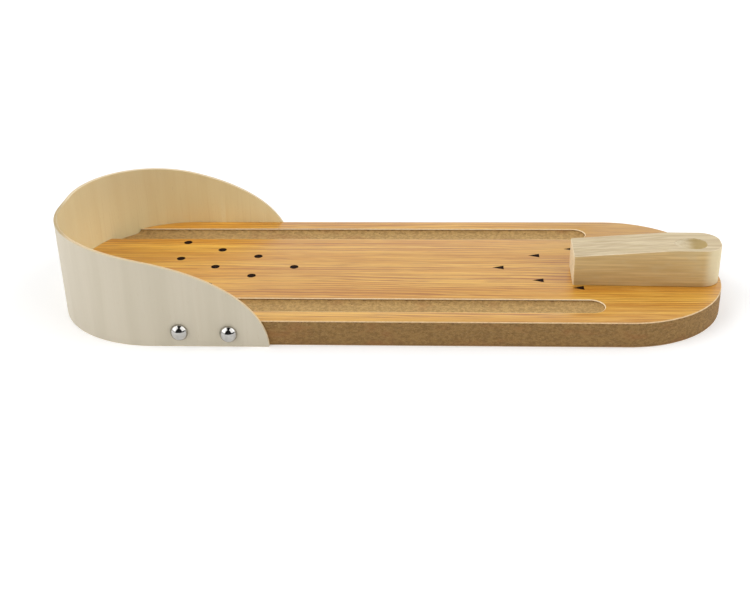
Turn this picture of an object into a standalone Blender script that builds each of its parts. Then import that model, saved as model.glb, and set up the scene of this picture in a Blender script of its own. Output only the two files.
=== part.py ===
"""Wooden table-top bowling lane: a laminated MDF board with two gutters, a bent plywood backstop held
by four dome-head nails, and a loose hardwood ball ramp.

Frame, in metres: +X runs along the lane from the pins to the bowler, +Y across it and +Z up. The
origin is the middle of the board's underside, so the board stands on Z = 0.
"""

from math import atan2, cos, pi, radians, sin, sqrt

import bmesh
import bpy
from mathutils import Matrix, Vector

MM = 0.001

# Board: a top laminate and a backing sheet, glued to an MDF core.
BOARD_LENGTH = 300 * MM
BOARD_WIDTH = 110 * MM
BOARD_THICKNESS = 11.7 * MM
CORNER_RADIUS = 46.2 * MM
PIN_CORNER_RADIUS = 48.2 * MM
SURFACE_THICKNESS = 0.4 * MM
BACKING_THICKNESS = 0.3 * MM
GLUE_LINE = 0.05 * MM
CORNER_STEPS = 24

# Gutters: both cut by one half-inch router bit with rounded corners, in through the pin end.
ROUTER_RADIUS = 6.3 * MM
ROUTER_CORNER_RADIUS = 2 * MM
ROUTER_CORNER_STEPS = 5
GUTTER_DEPTH = 2.3 * MM
GUTTER_EDGE_MARGIN = 9.3 * MM
GUTTER_END_X = 94.8 * MM

# Backstop: a bent strip of thin plywood, whose top edge falls away towards both ends.
PLY_THICKNESS = 1.5 * MM
PLY_CLEARANCE = 0.2 * MM
BACKSTOP_HEIGHT = 45.0 * MM
BACKSTOP_HALF_LENGTH = 133.2 * MM
BACKSTOP_SHIFT = -2.5 * MM
BACKSTOP_FULLNESS = 3.0
BACKSTOP_STEPS = 110

# Dome-head nails, two through each side of the backstop: their distance along X and their height.
NAIL_PLACES = ((-88.8 * MM, 6.9 * MM), (-67.4 * MM, 6.2 * MM))
NAIL_HEAD_RADIUS = 3.9 * MM
NAIL_HEAD_HEIGHT = 3.0 * MM
NAIL_HEAD_RIM = 0.3 * MM
NAIL_SHANK_RADIUS = 0.7 * MM
NAIL_SHANK_LENGTH = 9.5 * MM
NAIL_POINT_LENGTH = 2.0 * MM
NAIL_SEAT_GAP = 0.05 * MM
NAIL_HOLE_RADIUS = 1.0 * MM
NAIL_STEPS = 24

# Ramp: a block whose top slopes down to the pin side, with a ball seat near its round end.
RAMP_LENGTH = 65.5 * MM
RAMP_WIDTH = 20.8 * MM
RAMP_HIGH = 17.5 * MM
RAMP_LOW = 14.1 * MM
RAMP_SLOPE_LENGTH = 43.5 * MM
RAMP_END_RADIUS = 8.5 * MM
RAMP_CENTRE = (115.9 * MM, -9.2 * MM)
RAMP_YAW = radians(-1.3)
RAMP_REST_GAP = 0.1 * MM
SEAT_RADIUS = 6.35 * MM
SEAT_DEPTH = 4.2 * MM
SEAT_FROM_END = 12.35 * MM
SEAT_ASIDE = -2.1 * MM
SEAT_RUN_OUT = 5.4 * MM
SEAT_RUN_OUT_RISE = 3.4 * MM


def new_material(name, colour, roughness, metallic=0.0):
    """Return a Principled material of one colour."""
    material = bpy.data.materials.new(name)
    material.use_nodes = True
    shader = material.node_tree.nodes["Principled BSDF"]
    shader.inputs["Base Color"].default_value = (*colour, 1.0)
    shader.inputs["Roughness"].default_value = roughness
    shader.inputs["Metallic"].default_value = metallic
    material.diffuse_color = (*colour, 1.0)
    return material


def new_object(name, bm, material, smooth_angle=radians(30)):
    """Turn a bmesh into a named object with its faces pointing out."""
    bmesh.ops.recalc_face_normals(bm, faces=bm.faces)
    mesh = bpy.data.meshes.new(name)
    bm.to_mesh(mesh)
    bm.free()
    mesh.materials.append(material)
    mesh.shade_smooth()
    mesh.set_sharp_from_angle(angle=smooth_angle)
    thing = bpy.data.objects.new(name, mesh)
    bpy.context.scene.collection.objects.link(thing)
    return thing


def cut(thing, cutter):
    """Subtract a cutter, which stays in the file as a hidden wire guide."""
    cutter.hide_render = True
    cutter.display_type = "WIRE"
    boolean = thing.modifiers.new("cut_" + cutter.name, "BOOLEAN")
    boolean.operation = "DIFFERENCE"
    boolean.object = cutter


def arc(centre, radius, start, end, steps):
    """Return points along an arc, both ends included."""
    angles = [start + (end - start) * step / steps for step in range(steps + 1)]
    return [(centre[0] + radius * cos(angle), centre[1] + radius * sin(angle)) for angle in angles]


def board_outline():
    """Return the board's plan: a rectangle with four large round corners, fuller at the pin end."""
    corners = ((1, 1, CORNER_RADIUS), (-1, 1, PIN_CORNER_RADIUS),
               (-1, -1, PIN_CORNER_RADIUS), (1, -1, CORNER_RADIUS))
    points = []
    for quarter, (x, y, radius) in enumerate(corners):
        centre = (x * (BOARD_LENGTH / 2 - radius), y * (BOARD_WIDTH / 2 - radius))
        start = quarter * pi / 2
        points += arc(centre, radius, start, start + pi / 2, CORNER_STEPS)
    return points


def plate(name, outline, bottom, top, material):
    """Return a flat plate of the given outline between two heights."""
    bm = bmesh.new()
    face = bm.faces.new([bm.verts.new((x, y, bottom)) for x, y in outline])
    side = bmesh.ops.extrude_face_region(bm, geom=[face])
    raised = [item for item in side["geom"] if isinstance(item, bmesh.types.BMVert)]
    bmesh.ops.translate(bm, verts=raised, vec=(0, 0, top - bottom))
    return new_object(name, bm, material)


def hull(name, points, material):
    """Return the convex solid round the points."""
    bm = bmesh.new()
    corners = [bm.verts.new(point) for point in points]
    result = bmesh.ops.convex_hull(bm, input=corners)
    inside = set(result["geom_interior"] + result["geom_unused"])
    loose = [item for item in inside if isinstance(item, bmesh.types.BMVert)]
    bmesh.ops.delete(bm, geom=loose, context="VERTS")
    return new_object(name, bm, material)


def router_path(name, start, end, material, segments=32):
    """Return the solid that the router bit sweeps, with its tip's middle going from start to end."""
    rings = [(ROUTER_RADIUS, 2 * GUTTER_DEPTH)]
    for step in range(ROUTER_CORNER_STEPS + 1):
        angle = pi / 2 * step / ROUTER_CORNER_STEPS
        inset = ROUTER_CORNER_RADIUS * (1 - sin(angle))
        rings.append((ROUTER_RADIUS - inset, ROUTER_CORNER_RADIUS * (1 - cos(angle))))
    points = []
    for x, y, z in (start, end):
        for radius, height in rings:
            for step in range(segments):
                turn = 2 * pi * step / segments
                points.append((x + radius * cos(turn), y + radius * sin(turn), z + height))
    return hull(name, points, material)


def capsule(name, start, end, radius, material, segments=32):
    """Return the solid that a ball sweeps between two points."""
    balls = bmesh.new()
    turn = Matrix.Rotation(pi / 2, 4, "Y")
    for centre in (start, end):
        place = Matrix.Translation(Vector(centre)) @ turn
        bmesh.ops.create_uvsphere(
            balls, u_segments=segments, v_segments=segments // 2, radius=radius, matrix=place)
    points = [tuple(vert.co) for vert in balls.verts]
    balls.free()
    return hull(name, points, material)


def rod(name, start, end, radius, material, segments=16):
    """Return a plain round rod between two points."""
    bm = bmesh.new()
    run = Vector(end) - Vector(start)
    place = Matrix.Translation((Vector(start) + Vector(end)) / 2)
    turn = run.to_track_quat("Z", "Y").to_matrix().to_4x4()
    bmesh.ops.create_cone(bm, cap_ends=True, segments=segments, radius1=radius, radius2=radius,
                          depth=run.length, matrix=place @ turn)
    return new_object(name, bm, material)


def make_board(mdf, laminate, backing):
    """Make the core, the lane surface and the backing, with both gutters routed."""
    core_bottom = BACKING_THICKNESS + GLUE_LINE
    core_top = BOARD_THICKNESS - SURFACE_THICKNESS - GLUE_LINE
    outline = board_outline()
    core = plate("lane_core", outline, core_bottom, core_top, mdf)
    surface = plate("lane_surface", outline, core_top + GLUE_LINE, BOARD_THICKNESS, laminate)
    plate("underside_backing", outline, 0.0, BACKING_THICKNESS, backing)
    gutter_y = BOARD_WIDTH / 2 - GUTTER_EDGE_MARGIN - ROUTER_RADIUS
    floor = BOARD_THICKNESS - GUTTER_DEPTH
    for side, y in (("left", -gutter_y), ("right", gutter_y)):
        start = (-BOARD_LENGTH / 2 - 2 * ROUTER_RADIUS, y, floor)
        end = (GUTTER_END_X - ROUTER_RADIUS, y, floor)
        router = router_path("gutter_cutter_" + side, start, end, mdf)
        cut(core, router)
        cut(surface, router)
    return core


def strip_path(distance, outward):
    """Return the plan point of the bent strip at a distance round from the middle of the pin end.

    The strip's middle layer runs straight, round one corner and straight along the board's side.
    The point lies a given distance outward of that layer.
    """
    radius = PIN_CORNER_RADIUS + PLY_CLEARANCE + PLY_THICKNESS / 2
    straight = BOARD_WIDTH / 2 - PIN_CORNER_RADIUS
    end_x = -BOARD_LENGTH / 2 + PIN_CORNER_RADIUS
    reach = abs(distance)
    side = 1 if distance >= 0 else -1
    if reach < straight:
        return (end_x - radius - outward, side * reach)
    turn = min((reach - straight) / radius, pi / 2)
    along = max(reach - straight - radius * pi / 2, 0.0)
    x = end_x - (radius + outward) * cos(turn) + along
    return (x, side * (straight + (radius + outward) * sin(turn)))


def make_backstop(ply):
    """Make the bent strip, whose top edge is a superellipse from end to end."""
    bm = bmesh.new()
    columns = []
    for step in range(BACKSTOP_STEPS + 1):
        share = sin(pi * (step / BACKSTOP_STEPS - 0.5))
        distance = BACKSTOP_SHIFT + BACKSTOP_HALF_LENGTH * share
        height = BACKSTOP_HEIGHT * sqrt(max(1 - abs(share) ** BACKSTOP_FULLNESS, 0.0))
        at_end = step in (0, BACKSTOP_STEPS)
        column = []
        for outward in (-PLY_THICKNESS / 2, PLY_THICKNESS / 2):
            x, y = strip_path(distance, outward)
            foot = bm.verts.new((x, y, 0.0))
            column.append((foot, foot if at_end else bm.verts.new((x, y, height))))
        columns.append(column)
    for near, far in zip(columns, columns[1:]):
        (near_in, near_in_top), (near_out, near_out_top) = near
        (far_in, far_in_top), (far_out, far_out_top) = far
        sheets = ((near_in, far_in, far_in_top, near_in_top),
                  (near_out, far_out, far_out_top, near_out_top),
                  (near_in_top, far_in_top, far_out_top, near_out_top),
                  (near_in, far_in, far_out, near_out))
        for sheet in sheets:
            bm.faces.new(list(dict.fromkeys(sheet)))
    bmesh.ops.triangulate(bm, faces=[face for face in bm.faces if len(face.verts) > 3])
    return new_object("backstop", bm, ply)


def nail_profile():
    """Return half of the nail's section, from the top of its dome to its point."""
    rise = NAIL_HEAD_HEIGHT - NAIL_HEAD_RIM
    ball = (NAIL_HEAD_RADIUS ** 2 + rise ** 2) / (2 * rise)
    centre = (0.0, NAIL_HEAD_HEIGHT - ball)
    rim_angle = atan2(NAIL_HEAD_RIM - centre[1], NAIL_HEAD_RADIUS)
    dome = arc(centre, ball, pi / 2, rim_angle, 8)
    shank_end = NAIL_POINT_LENGTH - NAIL_SHANK_LENGTH
    return dome + [(NAIL_HEAD_RADIUS, 0.0), (NAIL_SHANK_RADIUS, 0.0),
                   (NAIL_SHANK_RADIUS, shank_end), (0.0, -NAIL_SHANK_LENGTH)]


def make_nail(name, place, facing, chrome):
    """Make one dome-head nail, turned from its profile, with its head facing +Y or -Y."""
    bm = bmesh.new()
    points = [bm.verts.new((radius, 0.0, height)) for radius, height in nail_profile()]
    edges = [bm.edges.new(pair) for pair in zip(points, points[1:])]
    bmesh.ops.spin(bm, geom=points + edges, axis=(0, 0, 1), cent=(0, 0, 0),
                   angle=2 * pi, steps=NAIL_STEPS)
    bmesh.ops.remove_doubles(bm, verts=bm.verts, dist=0.0001 * MM)
    nail = new_object(name, bm, chrome)
    nail.location = place
    nail.rotation_euler = (-facing * pi / 2, 0, 0)
    return nail


def make_nails(core, backstop, mdf, chrome):
    """Drive two nails through each side of the backstop into the core."""
    seat = BOARD_WIDTH / 2 + PLY_CLEARANCE + PLY_THICKNESS + NAIL_SEAT_GAP
    depth = seat - NAIL_SHANK_LENGTH - 2 * NAIL_SEAT_GAP
    for side, facing in (("left", -1), ("right", 1)):
        for number, (x, z) in enumerate(NAIL_PLACES, start=1):
            name = f"{side}_{number}"
            make_nail("dome_nail_" + name, (x, facing * seat, z), facing, chrome)
            mouth = (x, facing * (seat + PLY_THICKNESS), z)
            hole = rod("nail_hole_" + name, mouth, (x, facing * depth, z), NAIL_HOLE_RADIUS, mdf)
            cut(core, hole)
            cut(backstop, hole)


def ramp_outline():
    """Return the ramp's plan round its own middle, with points where the slope begins."""
    end = RAMP_LENGTH / 2
    side = RAMP_WIDTH / 2
    crease = RAMP_SLOPE_LENGTH - end
    centre_x = end - RAMP_END_RADIUS
    centre_y = side - RAMP_END_RADIUS
    near = arc((centre_x, -centre_y), RAMP_END_RADIUS, -pi / 2, 0, 12)
    far = arc((centre_x, centre_y), RAMP_END_RADIUS, 0, pi / 2, 12)
    return [(-end, -side), (crease, -side)] + near + far + [(crease, side), (-end, side)]


def make_ramp(wood):
    """Make the ramp, with its origin in the middle of its underside, and cut its ball seat."""
    bm = bmesh.new()
    outline = ramp_outline()
    feet = [bm.verts.new((x, y, 0.0)) for x, y in outline]
    low_x = outline[0][0]
    tops = [bm.verts.new((x, y, RAMP_LOW if x == low_x else RAMP_HIGH)) for x, y in outline]
    bm.faces.new(feet)
    bm.faces.new(tops[1:-1])
    bm.faces.new((tops[-1], tops[0], tops[1], tops[-2]))
    for index, foot in enumerate(feet):
        following = (index + 1) % len(feet)
        bm.faces.new((foot, feet[following], tops[following], tops[index]))
    ramp = new_object("ball_ramp", bm, wood)
    ramp.location = (*RAMP_CENTRE, BOARD_THICKNESS + RAMP_REST_GAP)
    ramp.rotation_euler = (0, 0, RAMP_YAW)
    deep = (RAMP_LENGTH / 2 - SEAT_FROM_END, SEAT_ASIDE, RAMP_HIGH - SEAT_DEPTH + SEAT_RADIUS)
    shallow = (deep[0] - SEAT_RUN_OUT, deep[1], deep[2] + SEAT_RUN_OUT_RISE)
    seat = capsule("seat_cutter", deep, shallow, SEAT_RADIUS, wood)
    seat.parent = ramp
    cut(ramp, seat)
    return ramp


def build():
    """Clear the scene and build the whole lane."""
    for thing in list(bpy.data.objects):
        bpy.data.objects.remove(thing, do_unlink=True)
    mdf = new_material("mdf", (0.36, 0.22, 0.10), 0.85)
    laminate = new_material("lane_laminate", (0.68, 0.40, 0.17), 0.45)
    backing = new_material("backing_paper", (0.50, 0.36, 0.20), 0.6)
    ply = new_material("backstop_ply", (0.62, 0.52, 0.36), 0.6)
    chrome = new_material("nail_chrome", (0.80, 0.80, 0.82), 0.08, metallic=1.0)
    hardwood = new_material("ramp_wood", (0.68, 0.55, 0.36), 0.6)
    core = make_board(mdf, laminate, backing)
    backstop = make_backstop(ply)
    make_nails(core, backstop, mdf, chrome)
    make_ramp(hardwood)


build()
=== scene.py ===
"""Looks of a wooden table-top bowling lane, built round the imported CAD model.

Units are metres. +X runs along the lane from the pins to the bowler, +Y across it and away from the
camera, and +Z up. Every piece is modelled in place, so its own origin is the frame's origin.
"""

from functools import partial
from math import asin, atan2, copysign, cos, hypot, inf, pi, radians, sin, sqrt

import bmesh
import bpy
from mathutils import Matrix, Vector
from mathutils.geometry import delaunay_2d_cdt


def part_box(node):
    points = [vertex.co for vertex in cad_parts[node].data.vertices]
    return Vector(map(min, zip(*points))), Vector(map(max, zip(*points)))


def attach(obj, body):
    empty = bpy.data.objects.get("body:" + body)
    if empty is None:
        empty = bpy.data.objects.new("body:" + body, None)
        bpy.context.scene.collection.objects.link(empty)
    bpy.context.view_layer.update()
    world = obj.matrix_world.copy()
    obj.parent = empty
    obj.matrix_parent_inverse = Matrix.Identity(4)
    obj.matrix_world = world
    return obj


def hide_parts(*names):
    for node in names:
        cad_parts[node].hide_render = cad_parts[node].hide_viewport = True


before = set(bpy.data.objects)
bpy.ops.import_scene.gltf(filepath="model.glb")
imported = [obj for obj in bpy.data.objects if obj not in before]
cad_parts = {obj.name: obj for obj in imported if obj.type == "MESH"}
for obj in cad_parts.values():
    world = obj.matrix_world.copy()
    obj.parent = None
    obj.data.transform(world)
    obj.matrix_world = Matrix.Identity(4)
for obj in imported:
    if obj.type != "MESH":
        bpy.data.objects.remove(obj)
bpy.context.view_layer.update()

MM = 0.001

# Board, as in the CAD: heights and half sizes come from the frame.
SURFACE_LOW, SURFACE_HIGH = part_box("lane_surface")
CORE_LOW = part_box("lane_core")[0]
BACKING_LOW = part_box("underside_backing")[0]
HALF_LENGTH = SURFACE_HIGH.x
HALF_WIDTH = SURFACE_HIGH.y
BOARD_TOP = SURFACE_HIGH.z
CORNER_RADIUS = 46.2 * MM
PIN_CORNER_RADIUS = 48.2 * MM
PIN_STRAIGHT = HALF_WIDTH - PIN_CORNER_RADIUS
PIN_CENTRE_X = PIN_CORNER_RADIUS - HALF_LENGTH
CORNER_STEPS = 48
LAMINATE_EDGE = 0.36 * MM
BOTTOM_EDGE = 0.25 * MM
CORE_CREASE = radians(30)
SHEET_CREASE = radians(40)

# Gutters: a router bit with rounded corners, run in through the pin end.
ROUTER_RADIUS = 6.3 * MM
ROUTER_CORNER_RADIUS = 2.0 * MM
ROUTER_STEPS = 96
ROUTER_CORNER_STEPS = 12
GUTTER_DEPTH = 2.3 * MM
GUTTER_EDGE_MARGIN = 9.3 * MM
GUTTER_END_X = 94.8 * MM
GUTTER_FLOOR = BOARD_TOP - GUTTER_DEPTH
GUTTER_Y = HALF_WIDTH - GUTTER_EDGE_MARGIN - ROUTER_RADIUS
GUTTER_CENTRE_X = GUTTER_END_X - ROUTER_RADIUS
GUTTER_TOLERANCE = 0.01 * MM
LEAST_FLOOR_NORMAL = 0.25

# Marks pressed into the lane: ten pin spots in a triangle and five aiming arrows.
HEAD_SPOT_X = -45.5 * MM
SPOT_ROW_PITCH = 18.8 * MM
SPOT_PITCH = 19.5 * MM
SPOT_RADIUS = 2.05 * MM
SPOT_STEPS = 40
SPOT_ROWS = 4
SPOT_NUDGES = {(3, 3): (0.0, -0.9 * MM), (3, 2): (0.4 * MM, -0.6 * MM), (1, 1): (0.0, 2.2 * MM)}
ARROW_TIPS = ((47.7 * MM, 0.0), (65.2 * MM, 13.6 * MM), (82.6 * MM, 21.3 * MM))
ARROW_LENGTH = 5.2 * MM
ARROW_HALF_WIDTH = 2.0 * MM
ARROW_TIP_SHIFT = 2.5
ARROW_CORNER_SHIFT = 1.4
MARK_DEPTH = 0.12 * MM
MARK_SLOPE = 0.10 * MM

# Backstop strip, as in the CAD.
PLY_THICKNESS = 1.5 * MM
PLY_CLEARANCE = 0.2 * MM
BACKSTOP_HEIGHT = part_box("backstop")[1].z
BACKSTOP_HALF_LENGTH = 133.2 * MM
BACKSTOP_SHIFT = -2.5 * MM
BACKSTOP_FULLNESS = 3.0
BACKSTOP_STEPS = 320
PLY_TOP_ROUND = 0.4 * MM
PLY_FOOT_ROUND = 0.15 * MM
PLY_EDGE_SPAN = 0.02 * MM
STRIP_RADIUS = PIN_CORNER_RADIUS + PLY_CLEARANCE + PLY_THICKNESS / 2

# Dome-head nails.
NAIL_NODES = [f"dome_nail_{side}_{number}" for side in ("left", "right") for number in (1, 2)]
NAIL_HEAD_HEIGHT = 3.0 * MM
NAIL_HEAD_RIM = 0.3 * MM
NAIL_RIM_FOLD = 0.12 * MM
NAIL_SHANK_RADIUS = 0.7 * MM
NAIL_SHANK_LENGTH = 9.5 * MM
NAIL_POINT_LENGTH = 2.0 * MM
NAIL_UNDERSIDE = ((0.85, 0.0), (0.8, 0.35 * MM))  # share of the head's radius, height
NAIL_NECK = ((1.4 * MM, 0.5 * MM), (NAIL_SHANK_RADIUS, 0.4 * MM))
NAIL_HOLE_RADIUS = 1.0 * MM
NAIL_HOLE_EXTRA = 0.1 * MM
NAIL_HOLE_STEPS = 32
NAIL_STEPS = 72
NAIL_DOME_STEPS = 28
NAIL_FOLD_STEPS = 5
NAIL_CREASE = radians(50)
MERGE_DISTANCE = 0.0002 * MM

# Ball ramp, in its own frame: the origin is the middle of its underside.
RAMP_LOW_CORNER, RAMP_HIGH_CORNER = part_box("ball_ramp")
RAMP_CENTRE = Vector((115.9 * MM, -9.2 * MM, RAMP_LOW_CORNER.z))
RAMP_YAW = radians(-1.3)
RAMP_LENGTH = 65.5 * MM
RAMP_WIDTH = 20.8 * MM
RAMP_HIGH = RAMP_HIGH_CORNER.z - RAMP_LOW_CORNER.z
RAMP_LOW = 14.1 * MM
RAMP_SLOPE_LENGTH = 43.5 * MM
RAMP_END_RADIUS = 8.5 * MM
RAMP_END_STEPS = 20
RAMP_CORNER_RADIUS = 0.8 * MM
RAMP_CORNER_STEPS = 5
RAMP_EDGE = 0.28 * MM
RAMP_OUTLINE_PITCH = 1.2 * MM
RAMP_GRID_PITCH = 1.0 * MM
RAMP_GRID_MARGIN = 0.3 * MM
SEAT_RADIUS = 6.35 * MM
SEAT_DEPTH = 4.2 * MM
SEAT_FROM_END = 12.35 * MM
SEAT_ASIDE = -2.1 * MM
SEAT_RUN_OUT = 5.4 * MM
SEAT_RUN_OUT_RISE = 3.4 * MM
SEAT_LIP = 0.12 * MM
SEAT_SWEEP_STEPS = 24
SEAT_GRID_PITCH = 0.3 * MM
SEAT_GRID_START = 11 * MM
SEAT_GRID_END = 28 * MM
SEAT_FACE_DEPTH = 0.2 * MM
SEAT_PAINTED_SHADE_SPAN = (16.5 * MM, 23 * MM)
ROUND_END_PAINTED_LIGHT = (23 * MM, 28 * MM)
CREASE_SOFTNESS = 0.06 * MM
CDT_INSIDE_ONLY = 1
CDT_EPSILON = 1e-7

# Camera, at the photograph's viewing angle.
CAMERA_PLACE = Vector((24.66 * MM, -476.4 * MM, 233.6 * MM))
CAMERA_YAW = -0.0677
CAMERA_PITCH = 0.4644
CAMERA_ROLL = -0.0254
SENSOR_WIDTH = 36.0
LENS = 53.74

# Studio: panel and floor sizes in metres, the floor's glow by distance in millimetres.
FLOOR_HALF_SIZE = 8.0
FLOOR_DROP = 0.1 * MM
FLOOR_TONE = 0.86
FLOOR_GLOW_NEAR = 0.26
FLOOR_GLOW_FAR = 0.8
FLOOR_GLOW_REACH = (350, 1300)
PANEL_SIZE = (1.4, 1.4)
PANEL_TARGET = (0, -0.05, 0)
LEFT_PANEL_PLACE = (-1.0, -0.5, 0.95)
LEFT_RADIANCE = 1.6
RIGHT_PANEL_PLACE = (1.0, -0.45, 1.0)
RIGHT_RADIANCE = 1.9

# Surroundings: bright walls either side of a dark gap towards the camera, and a white horizon.
BACK_RADIANCE = 0.95
GAP_RADIANCE = 0.03
LEFT_OF_GAP = (-0.829, 0.559, 0.0)
RIGHT_OF_GAP = (0.30, 0.954, 0.0)
GAP_EDGE = (-0.05, 0.3)
TOP_SHARE = 0.7
TOP_EDGE = (0.5, 0.85)
HORIZON_RADIANCE = 0.95
HORIZON_EDGE = (0.02, 0.08)

# Painted light and painted shade on the laminate, as factors on its colour.
PIN_CORNER_PAINTED_LIGHT = (1.25, 1.23, 0.98, 1.0)
BOWLER_CORNER_PAINTED_SHADE = (0.82, 0.81, 0.73, 1.0)


def tone(red, green, blue):
    """Return a linear RGBA colour from eight-bit sRGB values."""
    channels = [value / 255 for value in (red, green, blue)]
    linear = [c / 12.92 if c <= 0.04045 else ((c + 0.055) / 1.055) ** 2.4 for c in channels]
    return (*linear, 1.0)


class Steps:
    """Small steps for building up a tree of shader nodes."""

    def __init__(self, tree):
        self.tree = tree

    def step(self, kind, settings, inputs):
        """Add a node, then feed each input from a value or from another node's output."""
        node = self.tree.nodes.new(kind)
        for key, value in settings.items():
            setattr(node, key, value)
        for key, value in inputs.items():
            if isinstance(value, bpy.types.NodeSocket):
                self.tree.links.new(value, node.inputs[key])
            else:
                node.inputs[key].default_value = value
        return node

    def place(self, kind):
        """Return one of the texture coordinates."""
        return self.step("ShaderNodeTexCoord", {}, {}).outputs[kind]

    def vector(self, operation, first, second):
        """Return a vector sum or product."""
        inputs = {0: first, 1: second}
        return self.step("ShaderNodeVectorMath", {"operation": operation}, inputs).outputs[0]

    def dot(self, first, second):
        """Return the dot product of two vectors."""
        settings = {"operation": "DOT_PRODUCT"}
        node = self.step("ShaderNodeVectorMath", settings, {0: first, 1: second})
        return node.outputs["Value"]

    def length(self, vector):
        """Return a vector's length."""
        node = self.step("ShaderNodeVectorMath", {"operation": "LENGTH"}, {0: vector})
        return node.outputs["Value"]

    def part(self, vector, axis):
        """Return one component of a vector."""
        return self.step("ShaderNodeSeparateXYZ", {}, {0: vector}).outputs[axis]

    def maths(self, operation, first, second):
        """Return the result of a sum on two numbers."""
        inputs = {0: first, 1: second}
        return self.step("ShaderNodeMath", {"operation": operation}, inputs).outputs[0]

    def size_of(self, value):
        """Return a number without its sign."""
        return self.maths("ABSOLUTE", value, 0.0)

    def spread(self, value, low, high, to_low=0.0, to_high=1.0):
        """Return a number's place between two others, eased at both ends."""
        settings = {"interpolation_type": "SMOOTHSTEP"}
        inputs = {0: value, 1: low, 2: high, 3: to_low, 4: to_high}
        return self.step("ShaderNodeMapRange", settings, inputs).outputs[0]


class Recipe(Steps):
    """One procedural material. Lengths are in millimetres."""

    def __init__(self, name, **constants):
        self.material = bpy.data.materials.new(name)
        self.material.use_nodes = True
        super().__init__(self.material.node_tree)
        self.shader = self.tree.nodes["Principled BSDF"]
        for socket, value in constants.items():
            self.shader.inputs[socket.replace("_", " ")].default_value = value

    def position(self):
        """Return the place on the piece in millimetres."""
        return self.vector("MULTIPLY", self.place("Object"), (1000, 1000, 1000))

    def strip_position(self):
        """Return the place along, up and through the bent strip in millimetres."""
        settings = {"attribute_name": "strip"}
        place = self.step("ShaderNodeAttribute", settings, {}).outputs["Vector"]
        return self.vector("MULTIPLY", place, (1000, 1000, 1000))

    def sway(self, vector, share, amounts):
        """Return a vector pushed aside by a share from 0 to 1, by up to half the amounts."""
        centred = self.maths("SUBTRACT", share, 0.5)
        inputs = {0: centred, 1: centred, 2: centred}
        push = self.step("ShaderNodeCombineXYZ", {}, inputs).outputs[0]
        return self.vector("ADD", vector, self.vector("MULTIPLY", push, amounts))

    def noise(self, vector, size, detail=2.0, roughness=0.5, offset=(0, 0, 0)):
        """Return cloud noise whose blobs have the given size along each axis."""
        scaled = self.vector("DIVIDE", self.vector("ADD", vector, offset), size)
        inputs = {"Vector": scaled, "Scale": 1.0, "Detail": detail, "Roughness": roughness}
        return self.step("ShaderNodeTexNoise", {}, inputs).outputs["Fac"]

    def ring_lines(self, value, period, start, peak):
        """Return growth lines: each period darkens from start to peak, then ends at once."""
        rings = self.maths("FRACT", self.maths("DIVIDE", value, period), 0.0)
        late = self.spread(rings, start, peak)
        return self.maths("MULTIPLY", late, self.spread(rings, peak, 1.0, 1.0, 0.0))

    def blend(self, share, first, second, mode="MIX"):
        """Return a blend of two colours."""
        settings = {"data_type": "RGBA", "blend_type": mode}
        return self.step("ShaderNodeMix", settings, {0: share, 6: first, 7: second}).outputs[2]

    def between(self, pattern, low, high, first, second):
        """Return a colour that runs from the first to the second as the pattern rises."""
        return self.blend(self.spread(pattern, low, high), first, second)

    def stain(self, colour, pattern, low, high, amount, shade):
        """Return a colour stained by up to an amount as the pattern goes from low to high."""
        return self.blend(self.spread(pattern, low, high, 0.0, amount), colour, shade)

    def relief(self, height, depth):
        """Return the normals of a surface with that height pattern, depth millimetres deep."""
        inputs = {"Height": height, "Distance": depth * MM, "Strength": 1.0}
        return self.step("ShaderNodeBump", {}, inputs).outputs[0]

    def finish(self, **outputs):
        """Join the last steps to the shader and return the material."""
        for socket, output in outputs.items():
            self.tree.links.new(output, self.shader.inputs[socket.replace("_", " ")])
        return self.material


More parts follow.
